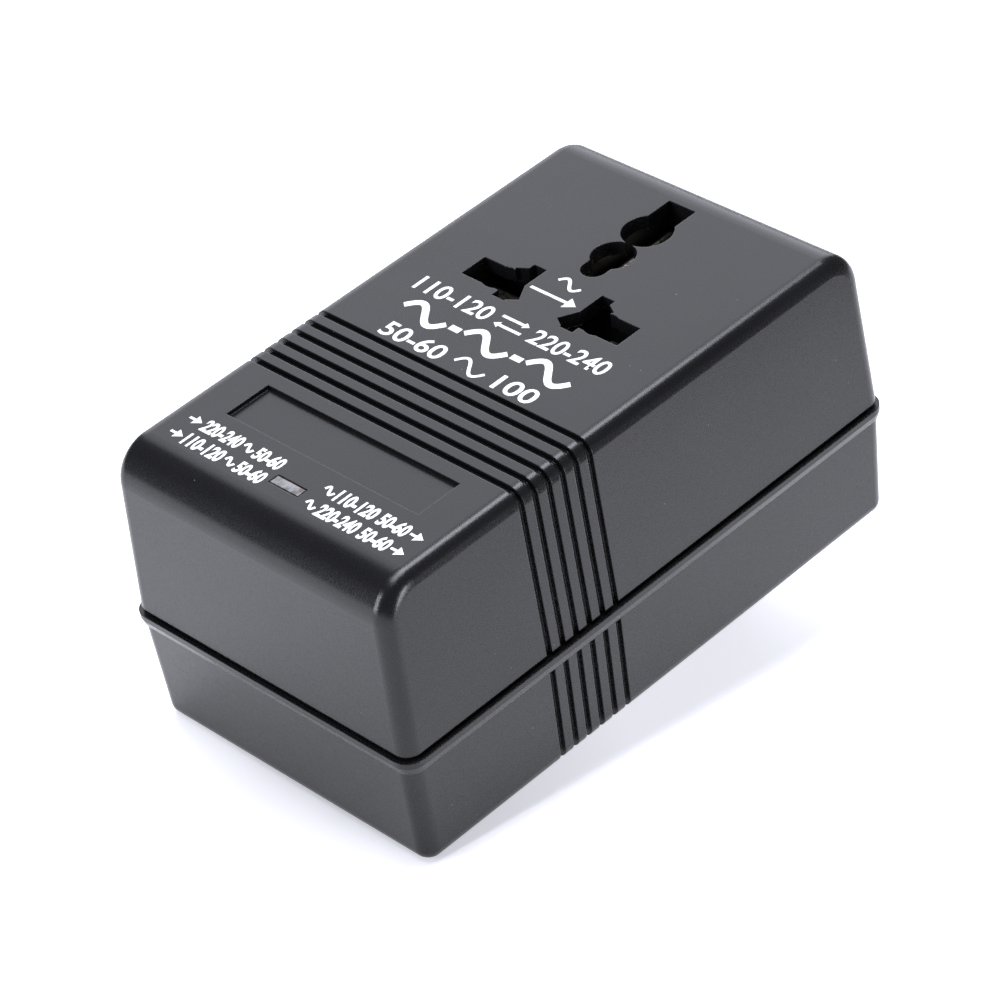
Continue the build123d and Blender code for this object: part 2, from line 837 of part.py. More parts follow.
def pin_places():
    """Where the coil's terminal pins stand across the back flange."""
    return [side * (outer_pin_x - index * pin_spacing) for side in (-1, 1) for index in range(3)]


def bobbin_pins():
    """Square terminal pins that point out of the back flange."""
    y = pin_root_y + pin_length / 2
    return Compound([block(pin_size, pin_length, pin_low_z, pin_top_z, x, y) for x in pin_places()])


def thermal_fuse():
    """A small cut-out with tapered ends and wire stubs, lying across the coil."""
    half = fuse_length / 2
    end = half + fuse_wire_length
    outline = Polyline(
        (-end, 0),
        (-end, fuse_wire_radius),
        (-half, fuse_wire_radius),
        (-half + fuse_shoulder, fuse_radius),
        (half - fuse_shoulder, fuse_radius),
        (half, fuse_wire_radius),
        (end, fuse_wire_radius),
        (end, 0),
        (-end, 0),
    )
    body = revolve(make_face(outline), Axis.X)
    return Pos(0, core_y, coil_top_z + fuse_radius) * body


def selector_case():
    """The selector's moulded case with a window below, open above, and a flange with two ears."""
    case = block(selector_length, selector_width, floor_z, selector_top_z, 0, selector_y)
    ears_length = 2 * (selector_post_x + selector_ear_reach)
    case += block(ears_length, selector_width, post_top_z, selector_flange_z, 0, selector_y)
    room_x = carriage_length + slider_travel + 2 * slider_clearance
    room_y = carriage_width + 2 * slider_clearance
    case -= block(room_x, room_y, selector_floor_z, selector_top_z + overrun, 0, selector_y)
    case -= block(window_x_size, window_y_size, floor_z - overrun, selector_floor_z, 0, selector_y)
    for x, y in selector_places():
        case -= rod(small_shank_radius + through_clearance, floor_z, selector_flange_z + overrun, x, y)
    return case


def terminal_places():
    """Two rows of three terminals."""
    rows = [selector_y - terminal_offset, selector_y + terminal_offset]
    return [(column * terminal_spacing, y) for y in rows for column in (-1, 0, 1)]


def selector_base():
    """The plate that closes the selector and carries its terminals."""
    plate = block(selector_length, selector_width, selector_top_z, selector_base_z, 0, selector_y)
    x_size = terminal_width + 2 * tab_clearance
    y_size = terminal_thickness + 2 * tab_clearance
    for x, y in terminal_places():
        plate -= block(x_size, y_size, selector_top_z - overrun, selector_base_z + overrun, x, y)
    return plate


def selector_terminals():
    """Six flat terminals through the base."""
    return Compound(
        [
            block(terminal_width, terminal_thickness, terminal_low_z, terminal_top_z, x, y)
            for x, y in terminal_places()
        ]
    )


def selector_slider():
    """The sliding knob in its window, slotted for a coin or screwdriver, and the carriage above it."""
    knob_low = underside_z + knob_recess
    slot_high = knob_low + knob_slot_depth
    knob = block(knob_length, knob_width, knob_low, carriage_low_z)
    carriage = block(carriage_length, carriage_width, carriage_low_z, carriage_top_z)
    slot = block(knob_slot_width, knob_width + overrun, knob_low - overrun, slot_high)
    return Pos(slider_x, selector_y, 0) * (knob + carriage - slot)


def selector_bridges():
    """Two arched contact strips that ride on the carriage."""
    bridge_top = carriage_top_z + bridge_height
    arch_low = carriage_top_z - overrun
    arch_top = bridge_top - strip_thickness
    span = bridge_length - 2 * bridge_foot
    bridges = []
    for row in (-1, 1):
        y = selector_y + row * terminal_offset
        bridge = block(bridge_length, bridge_width, carriage_top_z, bridge_top, slider_x, y)
        bridges.append(bridge - block(span, bridge_width + overrun, arch_low, arch_top, slider_x, y))
    return Compound(bridges)


def led_pin_places():
    """Where the indicator's two pins pass the board."""
    return pair(led_pin_spacing / 2, led_y)


def indicator_led():
    """A flat-topped rectangular indicator with a collar at its foot and two pins."""
    collar_length = led_length + 2 * led_collar
    collar_width = led_width + 2 * led_collar
    body = block(led_length, led_width, board_top_z, top_z, 0, led_y)
    body += block(collar_length, collar_width, board_top_z, board_top_z + led_collar_height, 0, led_y)
    for x, y in led_pin_places():
        body += block(led_pin_size, led_pin_size, board_top_z - led_pin_length, board_top_z, x, y)
    return body


def indicator_board():
    """A small board on two posts under the roof."""
    board = block(board_length, board_width, board_low_z, board_top_z, 0, led_y)
    hole = led_pin_size + 2 * board_hole_clearance
    for x, y in led_pin_places():
        board -= block(hole, hole, board_low_z - overrun, board_top_z + overrun, x, y)
    for x, y in board_places():
        radius = small_shank_radius + pilot_clearance
        board -= rod(radius, board_low_z - overrun, board_top_z + overrun, x, y)
    for x, y in pair(resistor_wire_reach, resistor_y):
        radius = resistor_wire_radius + board_hole_clearance
        board -= rod(radius, board_low_z - overrun, board_top_z + overrun, x, y)
    return board


def indicator_resistor():
    """A resistor under the board, with its wires bent up through it."""
    z = board_low_z - resistor_radius
    reach = resistor_wire_reach
    points = [(-reach, board_top_z), (-reach, z), (reach, z), (reach, board_top_z)]
    path = Plane.XZ * FilletPolyline(*points, radius=resistor_wire_bend)
    wire = sweep(Plane(origin=path @ 0, z_dir=path % 0) * Circle(resistor_wire_radius), path=path)
    body = Pos(0, 0, z) * Rot(0, 90, 0) * Cylinder(resistor_radius, resistor_length)
    return Pos(0, resistor_y, 0) * (wire + body)


def lead(points, radius=lead_radius):
    """An insulated wire through the points, with a round bend at each inner one."""
    path = FilletPolyline(*points, radius=lead_bend)
    return sweep(Plane(origin=path @ 0, z_dir=path % 0) * Circle(radius), path=path)


def rise_to_pin(x, low):
    """The last points of a lead that climbs behind the core and comes down on a terminal pin."""
    return [
        (x, channel_y, low),
        (x, channel_y, lead_roof_z),
        (x, pin_lead_y, lead_roof_z),
        (x, pin_lead_y, pin_top_z),
    ]


def leads():
    """The leads between blades, selector, coil and contacts."""
    blade_x = blade_pitch / 2
    back_y = selector_y + terminal_offset
    front_y = selector_y - terminal_offset
    input_line = [
        (blade_x, plug_y, tail_top_z),
        (blade_x, plug_y, lead_low_z),
        (terminal_spacing, back_y, lead_low_z),
        (terminal_spacing, back_y, terminal_top_z),
    ]
    input_common = [
        (-blade_x, plug_y, tail_top_z),
        (-blade_x, plug_y, lead_high_z),
    ] + rise_to_pin(-outer_pin_x, lead_high_z)
    tap = [
        (0, back_y, terminal_top_z),
        (0, back_y, lead_high_z),
    ] + rise_to_pin(inner_pin_x, lead_high_z)
    output_line = [
        (terminal_spacing, front_y, terminal_top_z),
        (terminal_spacing, front_y, lead_low_z),
        (tab_x, socket_y, lead_low_z),
        (tab_x, socket_y, tab_low_z),
    ]
    output_common = [
        (-tab_x, socket_y, tab_low_z),
        (-tab_x, socket_y, lead_low_z),
    ] + rise_to_pin(-inner_pin_x, lead_low_z)
    return {
        "lead_input_line": lead(input_line),
        "lead_input_common": lead(input_common),
        "lead_tap": lead(tap),
        "lead_output_line": lead(output_line),
        "lead_output_common": lead(output_common),
    }


def indicator_leads():
    """Two thin leads from the indicator board over the coil to its terminal pins."""
    x = inner_pin_x + pin_spacing
    start_y = led_y + board_width / 2 - indicator_lead_inset
    wires = []
    for side in (-1, 1):
        points = [
            (side * x, start_y, board_top_z),
            (side * x, start_y, lead_roof_z),
            (side * x, pin_lead_y, lead_roof_z),
            (side * x, pin_lead_y, pin_top_z),
        ]
        wires.append(lead(points, indicator_lead_radius))
    return Compound(wires)


def build():
    """Every named piece of the converter."""
    core_screw_length = stack_height + core_screw_grip
    core_screw = screw(core_head_radius, core_head_height, core_shank_radius, core_screw_length)
    housing_screw = screw(
        housing_head_radius, housing_head_height, housing_shank_radius, housing_screw_length
    )
    holder_screw = small_screw(holder_screw_length)
    indicator_screw = small_screw(indicator_screw_length)
    selector_screw = small_screw(selector_screw_length)
    retainer_screw = small_screw(retainer_screw_length)
    pieces = {
        "upper_shell": upper_shell(),
        "lower_shell": lower_shell(),
        "housing_screws": screws_up(housing_screw, corner_places(), screw_seat_z),
        "contact_holder": contact_holder(),
        "holder_screws": screws_up(holder_screw, holder_places(), ear_low_z),
        "contact_live": line_contact(1),
        "contact_neutral": line_contact(-1),
        "contact_earth": earth_contact(),
        "indicator_led": indicator_led(),
        "indicator_board": indicator_board(),
        "indicator_resistor": indicator_resistor(),
        "indicator_screws": screws_up(indicator_screw, board_places(), board_low_z),
        "core_e_stack": core_e_stack(),
        "core_i_stack": core_i_stack(),
        "core_screws": screws_down(core_screw, core_places(), core_top_z),
        "bobbin": bobbin(),
        "bobbin_pins": bobbin_pins(),
        "thermal_fuse": thermal_fuse(),
        "selector_case": selector_case(),
        "selector_base": selector_base(),
        "selector_terminals": selector_terminals(),
        "selector_slider": selector_slider(),
        "selector_bridges": selector_bridges(),
        "selector_screws": screws_down(selector_screw, selector_places(), selector_flange_z),
        "blade_left": Pos(-blade_pitch / 2, plug_y, 0) * blade(),
        "blade_right": Pos(blade_pitch / 2, plug_y, 0) * blade(),
        "blade_retainer": blade_retainer(),
        "retainer_screws": screws_down(retainer_screw, retainer_places(), retainer_top_z),
        "indicator_leads": indicator_leads(),
    }
    pieces.update(winding_layers())
    pieces.update(leads())
    return pieces


os.makedirs("parts", exist_ok=True)
for name, piece in build().items():
    save(piece, name)
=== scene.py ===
import math

import bmesh
import bpy
from mathutils import Matrix, Vector
from mathutils.bvhtree import BVHTree


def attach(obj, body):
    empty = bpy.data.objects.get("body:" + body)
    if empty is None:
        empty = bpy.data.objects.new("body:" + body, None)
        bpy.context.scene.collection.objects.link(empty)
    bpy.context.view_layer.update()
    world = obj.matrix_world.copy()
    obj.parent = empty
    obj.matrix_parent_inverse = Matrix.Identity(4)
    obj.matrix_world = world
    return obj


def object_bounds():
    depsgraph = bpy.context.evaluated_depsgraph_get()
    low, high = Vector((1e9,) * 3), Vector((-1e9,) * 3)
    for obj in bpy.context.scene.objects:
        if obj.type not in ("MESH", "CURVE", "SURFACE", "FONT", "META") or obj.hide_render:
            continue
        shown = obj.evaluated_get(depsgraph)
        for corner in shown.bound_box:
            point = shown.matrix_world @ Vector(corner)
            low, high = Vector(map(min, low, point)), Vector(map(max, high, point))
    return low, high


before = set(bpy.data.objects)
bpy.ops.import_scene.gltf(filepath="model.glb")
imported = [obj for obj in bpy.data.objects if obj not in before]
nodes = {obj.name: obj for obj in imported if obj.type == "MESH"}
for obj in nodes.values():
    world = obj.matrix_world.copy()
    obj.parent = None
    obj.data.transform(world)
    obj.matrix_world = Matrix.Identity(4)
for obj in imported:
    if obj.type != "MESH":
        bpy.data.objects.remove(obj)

# Looks of the travel voltage converter. Lengths are in metres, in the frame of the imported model.
cad_box = [list(corner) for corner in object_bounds()]
top_z = cad_box[1][2]
mm = 0.001

# Camera, from a fit of the housing's outline to the photograph
image_size = 1000
focal_px = 4057.0
sensor_width = 36.0
view_depth = 20.0
camera_azimuth = math.radians(50.74)
camera_elevation = math.radians(37.86)
camera_roll = math.radians(-9.76)
camera_distance = 550.1 * mm
aim_z = 34.9 * mm
aim_px_right = 13.35
aim_px_down = 1.60

# Floor: it touches the tips of the blades and the lower front edge. Its glow is dimmed under the
# object as a painted contact shadow and fades far from a bright spot as a painted pool of light;
# both spots are in the floor's own coordinates.
floor_x = (-0.55, 0.12)
floor_y = (-0.20, 0.60)
floor_front_y = -44.0 * mm
floor_front_z = 16.0 * mm
floor_back_y = 33.3 * mm
floor_shadow_spot = (4.0 * mm, -6.0 * mm, 0.0)
floor_shadow_range = (6.0 * mm, 50.0 * mm)
floor_glow = (0.45, 0.76)
floor_light_pool_spot = (-200.0 * mm, 200.0 * mm, 0.0)
floor_light_pool_range = (340.0 * mm, 480.0 * mm)
floor_light_pool_fade = (1.0, 0.2)
floor_light = (0.88, 0.88, 0.88)
floor_shade = (0.86, 0.86, 0.86)
floor_grain = 4 * mm
floor_roughness = 0.9
floor_gloss = 0.1

# Lamps: direction, distance, width, height and power
studio_tint = (0.91, 0.92, 1.0)
lamps = {
    "light_back": ((-0.657, 0.613, 0.438), 0.9, 0.84, 1.0, 6.2),
    "light_strip": ((-0.050, 0.404, 0.914), 0.9, 0.32, 0.35, 5.2),
    "light_above": ((0.0, 0.0, 1.0), 0.85, 0.42, 0.42, 5.6),
    "light_left": ((-0.330, -0.908, 0.259), 1.0, 0.17, 0.90, 8.5),
    "light_right": ((0.982, 0.173, -0.070), 1.0, 0.21, 0.58, 6.5),
}

# Surround: white for the eye, and a faint fill on the object
surround_white = (1.0, 1.0, 1.0)
surround_fill = (0.9, 0.93, 1.0)
surround_strength = 0.10

# Moulded plastic: grain, flow clouds, dust, and edges rubbed smoother and painted paler, partly as
# wear and partly as a painted highlight
plastic_grain = 0.22 * mm
plastic_depth = 0.006 * mm
plastic_cloud = 14 * mm
plastic_edge = 0.22 * mm
plastic_ior = 1.5
grain_range = (0.62, 0.72)
grain_paleness = 0.35
grain_gain = 1.5
rub_and_highlight_paleness = 0.15
rub_and_highlight_gain = 2.2
rub_polish = 0.08
dust_pitch = 1.9 * mm
dust_chosen = (0.80, 0.82)
dust_size = (0.045, 0.03)
dust_cover = 0.5
dust_colour = (0.42, 0.42, 0.43)
bevel_samples = 6
edge_cosines = (0.995, 0.80)

# Metal: scratches along one axis and patches of tarnish
scratch_stretch = (1.0, 1.0, 0.04)
scratch_size = 0.12 * mm
scratch_depth = 0.004 * mm
tarnish_size = 3.0 * mm
metal_edge = 0.12 * mm

# Core, windings and card: a wave texture of scale one repeats every 0.314 of a unit
wave_period = 0.314
sheet_thickness = 0.5 * mm
sheet_depth = 0.05 * mm
rust_size = 2.5 * mm
card_depth = 0.01 * mm

# Indicator resin and white print
resin_dark = (0.045, 0.045, 0.047)
resin_light = (0.20, 0.197, 0.20)
resin_lump = 1.3 * mm
resin_stretch = (1.0, 0.6, 1.0)
resin_grain = 0.3 * mm
resin_depth = 0.01 * mm
resin_edge = 0.1 * mm
resin_scatter = 1.0 * mm
print_thin = (0.74, 0.75, 0.77)
print_full = (0.93, 0.94, 0.95)
print_grain = 0.35 * mm
print_depth = 0.004 * mm

# Print on the roof: lines are given by left, right, lower and upper edge
print_rise = 0.015 * mm
drape_from_y = -37.0 * mm
drape_step = 0.35 * mm
stroke = 0.5 * mm
row_stroke = 0.42 * mm
bold_stroke = 1.05 * mm
title_weight = 0.015
row_weight = 0.04
wave_points = 28
title_line = (-18.0 * mm, 17.3 * mm, 3.5 * mm, 6.6 * mm)
symbol_line = (-15.9 * mm, 15.3 * mm, -2.1 * mm, 2.3 * mm)
rate_line = (-14.6 * mm, 13.8 * mm, -6.4 * mm, -3.3 * mm)
output_mark = (-4.4 * mm, 4.0 * mm, 11.7 * mm, 17.2 * mm)
row_height = 2.5 * mm
upper_row_y = -35.0 * mm
lower_row_y = -38.4 * mm
left_row_x = (-21.6 * mm, -3.6 * mm)
right_row_x = (4.4 * mm, 22.4 * mm)


def new_material(name):
    """A node material with its shader and the object's own coordinates."""
    material = bpy.data.materials.new(name)
    material.use_nodes = True
    tree = material.node_tree
    shader = tree.nodes["Principled BSDF"]
    place = tree.nodes.new("ShaderNodeTexCoord").outputs["Object"]
    return material, tree, shader, place


def noise(tree, place, size, detail=3.0, rough=0.55):
    """A noise whose grains are about so large."""
    node = tree.nodes.new("ShaderNodeTexNoise")
    node.inputs["Scale"].default_value = 1 / size
    node.inputs["Detail"].default_value = detail
    node.inputs["Roughness"].default_value = rough
    tree.links.new(place, node.inputs["Vector"])
    return node.outputs["Fac"]


def stretch(tree, place, scale):
    """Coordinates stretched by so much along each axis."""
    node = tree.nodes.new("ShaderNodeMapping")
    node.inputs["Scale"].default_value = scale
    tree.links.new(place, node.inputs["Vector"])
    return node.outputs["Vector"]


def cells(tree, place, size):
    """Distance and colour of a cell pattern whose cells are about so large."""
    node = tree.nodes.new("ShaderNodeTexVoronoi")
    node.inputs["Scale"].default_value = 1 / size
    tree.links.new(place, node.inputs["Vector"])
    return node.outputs["Distance"], node.outputs["Color"]


def away(tree, place, spot):
    """The distance to a spot."""
    node = tree.nodes.new("ShaderNodeVectorMath")
    node.operation = "DISTANCE"
    node.inputs[1].default_value = spot
    tree.links.new(place, node.inputs[0])
    return node.outputs["Value"]


def ranged(tree, value, low, high, to_low, to_high):
    """A value carried from one range to another."""
    node = tree.nodes.new("ShaderNodeMapRange")
    names = ("From Min", "From Max", "To Min", "To Max")
    for name, number in zip(names, (low, high, to_low, to_high)):
        node.inputs[name].default_value = number
    tree.links.new(value, node.inputs["Value"])
    return node.outputs["Result"]


def combine(tree, operation, first, second):
    """Two values joined by an operation; the second may be a number."""
    node = tree.nodes.new("ShaderNodeMath")
    node.operation = operation
    tree.links.new(first, node.inputs[0])
    if isinstance(second, float):
        node.inputs[1].default_value = second
    else:
        tree.links.new(second, node.inputs[1])
    return node.outputs["Value"]


def blended(tree, factor, first, second):
    """Two colours mixed by a factor; either may be a socket."""
    node = tree.nodes.new("ShaderNodeMix")
    node.data_type = "RGBA"
    tree.links.new(factor, node.inputs["Factor"])
    for name, colour in (("A", first), ("B", second)):
        socket = [s for s in node.inputs if s.name == name and s.type == "RGBA"][0]
        if isinstance(colour, tuple):
            socket.default_value = (*colour, 1.0)
        else:
            tree.links.new(colour, socket)
    return [s for s in node.outputs if s.type == "RGBA"][0]


def bevelled(tree, radius):
    """Normals rounded over the sharp edges."""
    node = tree.nodes.new("ShaderNodeBevel")
    node.samples = bevel_samples
    node.inputs["Radius"].default_value = radius
    return node.outputs["Normal"]


def bumped(tree, shader, height, distance, normal=None):
    """A height turned into bumps on the shader, over normals that may be rounded already."""
    node = tree.nodes.new("ShaderNodeBump")
    node.inputs["Strength"].default_value = 1.0
    node.inputs["Distance"].default_value = distance
    tree.links.new(height, node.inputs["Height"])
    if normal is not None:
        tree.links.new(normal, node.inputs["Normal"])
    tree.links.new(node.outputs["Normal"], shader.inputs["Normal"])


def edge_mask(tree, rounded):
    """One on the edges that the rounded normals turn away from the face, and zero elsewhere."""
    flat = tree.nodes.new("ShaderNodeNewGeometry").outputs["Normal"]
    node = tree.nodes.new("ShaderNodeVectorMath")
    node.operation = "DOT_PRODUCT"
    tree.links.new(flat, node.inputs[0])
    tree.links.new(rounded, node.inputs[1])
    return ranged(tree, node.outputs["Value"], *edge_cosines, 0.0, 1.0)


def moulded(name, dark, light, roughness, gloss=0.5):
    """Moulded plastic: eroded grain, faint flow clouds, specks of dust, and polished edges painted
    paler, partly as wear and partly as a painted highlight.
    """
    material, tree, shader, place = new_material(name)
    fine = noise(tree, place, plastic_grain, 4.0, 0.6)
    cloud = noise(tree, place, plastic_cloud, 3.0)
    rounded = bevelled(tree, plastic_edge)
    edge_wear_and_highlight = edge_mask(tree, rounded)
    distance, colour = cells(tree, place, dust_pitch)
    chosen = ranged(tree, colour, *dust_chosen, 0.0, 1.0)
    dot = ranged(tree, distance, *dust_size, 0.0, 1.0)
    speck = combine(tree, "MULTIPLY", chosen, dot)
    body = blended(tree, ranged(tree, cloud, 0.35, 0.65, 0.0, 1.0), dark, light)
    paler = ranged(tree, fine, *grain_range, 0.0, grain_paleness)
    grained = blended(tree, paler, body, tuple(grain_gain * c for c in light))
    # Paler edges: partly rubbed wear, partly a painted highlight.
    rub_and_highlight = ranged(tree, edge_wear_and_highlight, 0.0, 1.0, 0.0, rub_and_highlight_paleness)
    rubbed_and_highlighted = blended(tree, rub_and_highlight, grained, tuple(rub_and_highlight_gain * c for c in light))
    dust = ranged(tree, speck, 0.0, 1.0, 0.0, dust_cover)
    dusty = blended(tree, dust, rubbed_and_highlighted, dust_colour)
    tree.links.new(dusty, shader.inputs["Base Color"])
    coarse = ranged(tree, fine, 0.3, 0.7, roughness - 0.05, roughness + 0.07)
    polish = ranged(tree, edge_wear_and_highlight, 0.0, 1.0, 0.0, rub_polish)
    smoothed = combine(tree, "SUBTRACT", coarse, polish)
    tree.links.new(smoothed, shader.inputs["Roughness"])
    shader.inputs["IOR"].default_value = plastic_ior
    shader.inputs["Specular IOR Level"].default_value = gloss
    bumped(tree, shader, fine, plastic_depth, rounded)
    return material


def metal(name, base, shade, roughness):
    """Rolled or brushed metal: fine scratches along one axis and patches of tarnish."""
    material, tree, shader, place = new_material(name)
    scratch = noise(tree, stretch(tree, place, scratch_stretch), scratch_size, 4.0, 0.6)
    patch = noise(tree, place, tarnish_size, 3.0)
    tarnished = blended(tree, ranged(tree, patch, 0.4, 0.7, 0.0, 1.0), base, shade)
    tree.links.new(tarnished, shader.inputs["Base Color"])
    rough = ranged(tree, scratch, 0.3, 0.7, roughness - 0.06, roughness + 0.1)
    tree.links.new(rough, shader.inputs["Roughness"])
    shader.inputs["Metallic"].default_value = 1.0
    bumped(tree, shader, scratch, scratch_depth, bevelled(tree, metal_edge))
    return material


def banded(tree, place, direction, pitch):
    """A wave that repeats at this pitch along an axis."""
    wave = tree.nodes.new("ShaderNodeTexWave")
    wave.bands_direction = direction
    wave.inputs["Scale"].default_value = wave_period / pitch
    tree.links.new(place, wave.inputs["Vector"])
    return wave.outputs["Fac"]


def wound(name, base, shade, pitch, roughness):
    """Layers of thin wire or tape that lie side by side along the coil, darker between the turns as
    painted shade.
    """
    material, tree, shader, place = new_material(name)
    turns = banded(tree, place, "Y", pitch)
    # The darker colour in the gaps between turns is painted shade.
    tree.links.new(blended(tree, turns, shade, base), shader.inputs["Base Color"])
    rough = ranged(tree, turns, 0.0, 1.0, roughness + 0.1, roughness)
    tree.links.new(rough, shader.inputs["Roughness"])
    bumped(tree, shader, turns, pitch / 3)
    return material


def laminated():
    """Stacked steel sheets: thin level bands under a film of varnish."""
    material, tree, shader, place = new_material("core_laminations")
    sheets = ranged(tree, banded(tree, place, "Z", sheet_thickness), 0.0, 0.25, 0.0, 1.0)
    rust = noise(tree, place, rust_size, 4.0)
    rusty = ranged(tree, rust, 0.5, 0.75, 0.0, 0.6)
    steel = blended(tree, rusty, (0.20, 0.20, 0.22), (0.16, 0.09, 0.06))
    stacked = blended(tree, sheets, (0.03, 0.03, 0.03), steel)
    tree.links.new(stacked, shader.inputs["Base Color"])
    rough = ranged(tree, rust, 0.3, 0.7, 0.35, 0.55)
    tree.links.new(rough, shader.inputs["Roughness"])
    shader.inputs["Metallic"].default_value = 0.8
    bumped(tree, shader, sheets, sheet_depth)
    return material


def speckled(name, base, shade, grain, roughness):
    """Card, laminate, resin or insulation: two shades in fine grains."""
    material, tree, shader, place = new_material(name)
    fine = noise(tree, place, grain, 4.0, 0.6)
    mixed = blended(tree, ranged(tree, fine, 0.35, 0.65, 0.0, 1.0), base, shade)
    tree.links.new(mixed, shader.inputs["Base Color"])
    rough = ranged(tree, fine, 0.3, 0.7, roughness - 0.05, roughness + 0.05)
    tree.links.new(rough, shader.inputs["Roughness"])
    bumped(tree, shader, fine, card_depth)
    return material


def lens_resin():
    """The indicator's milky resin, with its die and lead frame showing through as paler lumps."""
    material, tree, shader, place = new_material("indicator_resin")
    lump = noise(tree, stretch(tree, place, resin_stretch), resin_lump, 1.5)
    fine = noise(tree, place, resin_grain, 3.0)
    inside = ranged(tree, lump, 0.40, 0.60, 0.0, 1.0)
    tree.links.new(blended(tree, inside, resin_dark, resin_light), shader.inputs["Base Color"])
    tree.links.new(ranged(tree, fine, 0.3, 0.7, 0.22, 0.34), shader.inputs["Roughness"])
    shader.inputs["Subsurface Weight"].default_value = 0.3
    shader.inputs["Subsurface Scale"].default_value = resin_scatter
    shader.inputs["Coat Weight"].default_value = 0.3
    bumped(tree, shader, fine, resin_depth, bevelled(tree, resin_edge))
    return material


def pad_print():
    """White pad print: slightly uneven in cover, with a dry edge to its gloss."""
    material, tree, shader, place = new_material("pad_print_white")
    cover = noise(tree, place, print_grain, 3.0)
    whole = ranged(tree, cover, 0.3, 0.6, 0.0, 1.0)
    tree.links.new(blended(tree, whole, print_thin, print_full), shader.inputs["Base Color"])
    tree.links.new(ranged(tree, cover, 0.3, 0.7, 0.45, 0.6), shader.inputs["Roughness"])
    bumped(tree, shader, cover, print_depth)
    return material


def ribbon(shape, points, width):
    """A flat band along a line of points."""
    places = [Vector((*point, 0.0)) for point in points]
    edges = []
    for index, place in enumerate(places):
        before = places[max(index - 1, 0)]
        after = places[min(index + 1, len(places) - 1)]
        along = (after - before).normalized()
        side = Vector((-along.y, along.x, 0.0)) * width / 2
        edges.append((shape.verts.new(place + side), shape.verts.new(place - side)))
    for first, second in zip(edges, edges[1:]):
        shape.faces.new((first[0], first[1], second[1], second[0]))


def wave_mark(shape, left, right, low, high, width):
    """One cycle of a sine wave."""
    middle = (low + high) / 2
    swing = (high - low - width) / 2
    points = []
    for index in range(wave_points + 1):
        share = index / wave_points
        height = middle + swing * math.sin(2 * math.pi * share)
        points.append((left + (right - left) * share, height))
    ribbon(shape, points, width)


def arrow_mark(shape, start, end, low, high, width):
    """An arrow from start to end, with a solid head as high as its place."""
    middle = (low + high) / 2
    head = math.copysign((high - low) * 0.75, end - start)
    ribbon(shape, [(start, middle), (end - head, middle)], width)
    corners = [(end - head, low), (end, middle), (end - head, high)]
    if head < 0:
        corners.reverse()
    shape.faces.new([shape.verts.new((x, y, 0.0)) for x, y in corners])


def number_mark(shape, text, left, right, low, high, weight=0.0):
    """Plain numbers from Blender's own font, fitted to their place."""
    curve = bpy.data.curves.new("numbers", "FONT")
    curve.body = text
    curve.offset = weight
    curve.resolution_u = 4
    holder = bpy.data.objects.new("numbers", curve)
    bpy.context.scene.collection.objects.link(holder)
    bpy.context.view_layer.update()
    mesh = bpy.data.meshes.new_from_object(holder)
    bpy.data.objects.remove(holder)
    xs = [vertex.co.x for vertex in mesh.vertices]
    ys = [vertex.co.y for vertex in mesh.vertices]
    x_scale = (right - left) / (max(xs) - min(xs))
    y_scale = (high - low) / (max(ys) - min(ys))
    x_start = left - min(xs) * x_scale
    y_start = low - min(ys) * y_scale
    for vertex in mesh.vertices:
        vertex.co = (x_start + vertex.co.x * x_scale, y_start + vertex.co.y * y_scale, 0.0)
    shape.from_mesh(mesh)
    bpy.data.meshes.remove(mesh)
    bpy.data.curves.remove(curve)


def drape(shape, tree):
    """Cuts the flat marks into narrow bands where the roof curves, and lays them on it."""
    y = drape_from_y
    lowest = min(vertex.co.y for vertex in shape.verts)
    while y > lowest:
        everything = shape.verts[:] + shape.edges[:] + shape.faces[:]
        bmesh.ops.bisect_plane(shape, geom=everything, plane_co=(0, y, 0), plane_no=(0, 1, 0))
        y -= drape_step
    for vertex in shape.verts:
        hit = tree.ray_cast(Vector((vertex.co.x, vertex.co.y, top_z + mm)), Vector((0, 0, -1)))[0]
        vertex.co.z = hit.z + print_rise


def printed(name, draw, tree, material):
    """One printed piece on the roof of the housing."""
    shape = bmesh.new()
    draw(shape)
    drape(shape, tree)
    bmesh.ops.recalc_face_normals(shape, faces=shape.faces)
    mesh = bpy.data.meshes.new(name)
    shape.to_mesh(mesh)
    shape.free()
    for polygon in mesh.polygons:
        if polygon.normal.z < 0:
            polygon.flip()
    piece = bpy.data.objects.new(name, mesh)
    bpy.context.scene.collection.objects.link(piece)
    mesh.materials.append(material)
    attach(piece, "housing")


def along(place, start, end):
    """Left and right edge at two shares of a place's width."""
    left, right = place[:2]
    return left + (right - left) * start, left + (right - left) * end


def draw_title(shape):
    """Both voltage ranges, with an arrow each way between them."""
    low, high = title_line[2:]
    middle = (low + high) / 2
    number_mark(shape, "110-120", *along(title_line, 0.0, 0.39), low, high, title_weight)
    number_mark(shape, "220-240", *along(title_line, 0.61, 1.0), low, high, title_weight)
    left, right = along(title_line, 0.43, 0.57)
    arrow_mark(shape, left, right, middle + stroke / 2, high, stroke)
    arrow_mark(shape, right, left, low, middle - stroke / 2, stroke)


def draw_symbols(shape):
    """Three bold waves joined by bars: alternating current in and out."""
    low, high = symbol_line[2:]
    middle = (low + high) / 2
    for start, end in ((0.0, 0.26), (0.37, 0.63), (0.74, 1.0)):
        wave_mark(shape, *along(symbol_line, start, end), low, high, bold_stroke)
    for start, end in ((0.285, 0.345), (0.655, 0.715)):
        left, right = along(symbol_line, start, end)
        ribbon(shape, [(left, middle), (right, middle)], bold_stroke)


